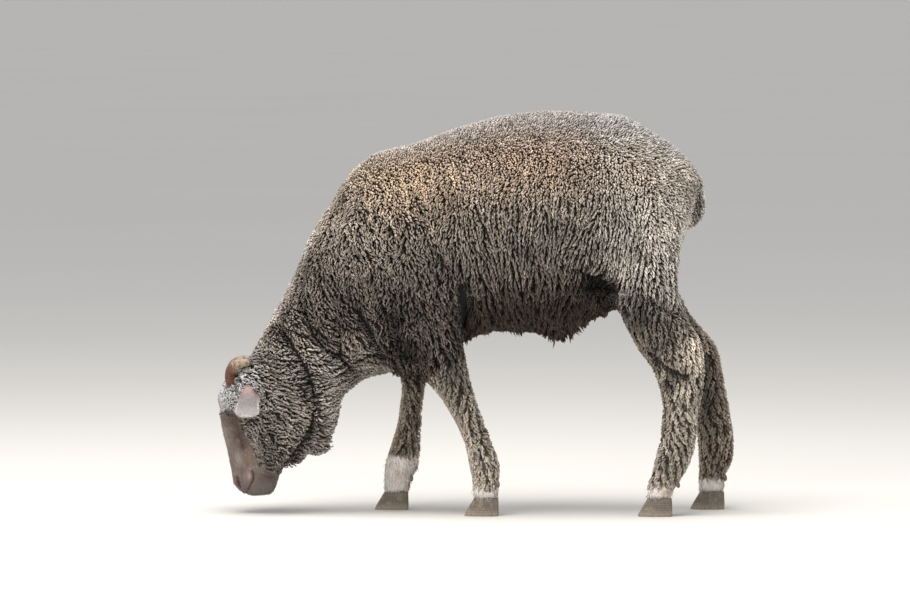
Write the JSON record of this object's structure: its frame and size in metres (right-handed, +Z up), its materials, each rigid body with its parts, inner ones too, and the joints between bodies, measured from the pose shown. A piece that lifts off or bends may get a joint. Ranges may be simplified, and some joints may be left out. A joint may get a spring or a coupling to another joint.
{
  "type": "shorn sheep",
  "caption": "Life-size still model of a grazing Merino sheep with a short, newly regrown fleece, head down to the ground and standing on cloven hooves.",
  "frame": {"origin": "on the floor, under the middle of the bounding box", "axes": "+X towards the rump, +Z up; the sheep faces -X and its left side is at -Y"},
  "size_m": [0.9082, 0.3086, 0.7046],
  "materials": {
    "fleece": "short greasy wool in crimped locks, dark at the roots and pale or tan at the tips",
    "ear_skin": "thin skin under very short pale hair",
    "horn": "ridged horn, red-brown at the root and tan at the tip",
    "hoof": "worn horn with fine growth rings",
    "eye": "wet amber-brown iris with a level slot pupil"
  },
  "bodies": {
    "root": {"claw_fore_left_inner": "hoof", "claw_fore_left_outer": "hoof", "claw_fore_right_inner": "hoof", "claw_fore_right_outer": "hoof", "claw_hind_left_inner": "hoof", "claw_hind_left_outer": "hoof", "claw_hind_right_inner": "hoof", "claw_hind_right_outer": "hoof", "dewclaw_fore_left_inner": "hoof", "dewclaw_fore_left_outer": "hoof", "dewclaw_fore_right_inner": "hoof", "dewclaw_fore_right_outer": "hoof", "dewclaw_hind_left_inner": "hoof", "dewclaw_hind_left_outer": "hoof", "dewclaw_hind_right_inner": "hoof", "dewclaw_hind_right_outer": "hoof", "ear_left": "ear_skin", "ear_right": "ear_skin", "eye_left": "eye", "eye_right": "eye", "head": "fleece", "horn_left": "horn", "horn_right": "horn", "leg_fore_left": "fleece", "leg_fore_right": "fleece", "leg_hind_left": "fleece", "leg_hind_right": "fleece", "neck": "fleece", "tail": "fleece", "trunk": "fleece"}
  },
  "joints": []
}
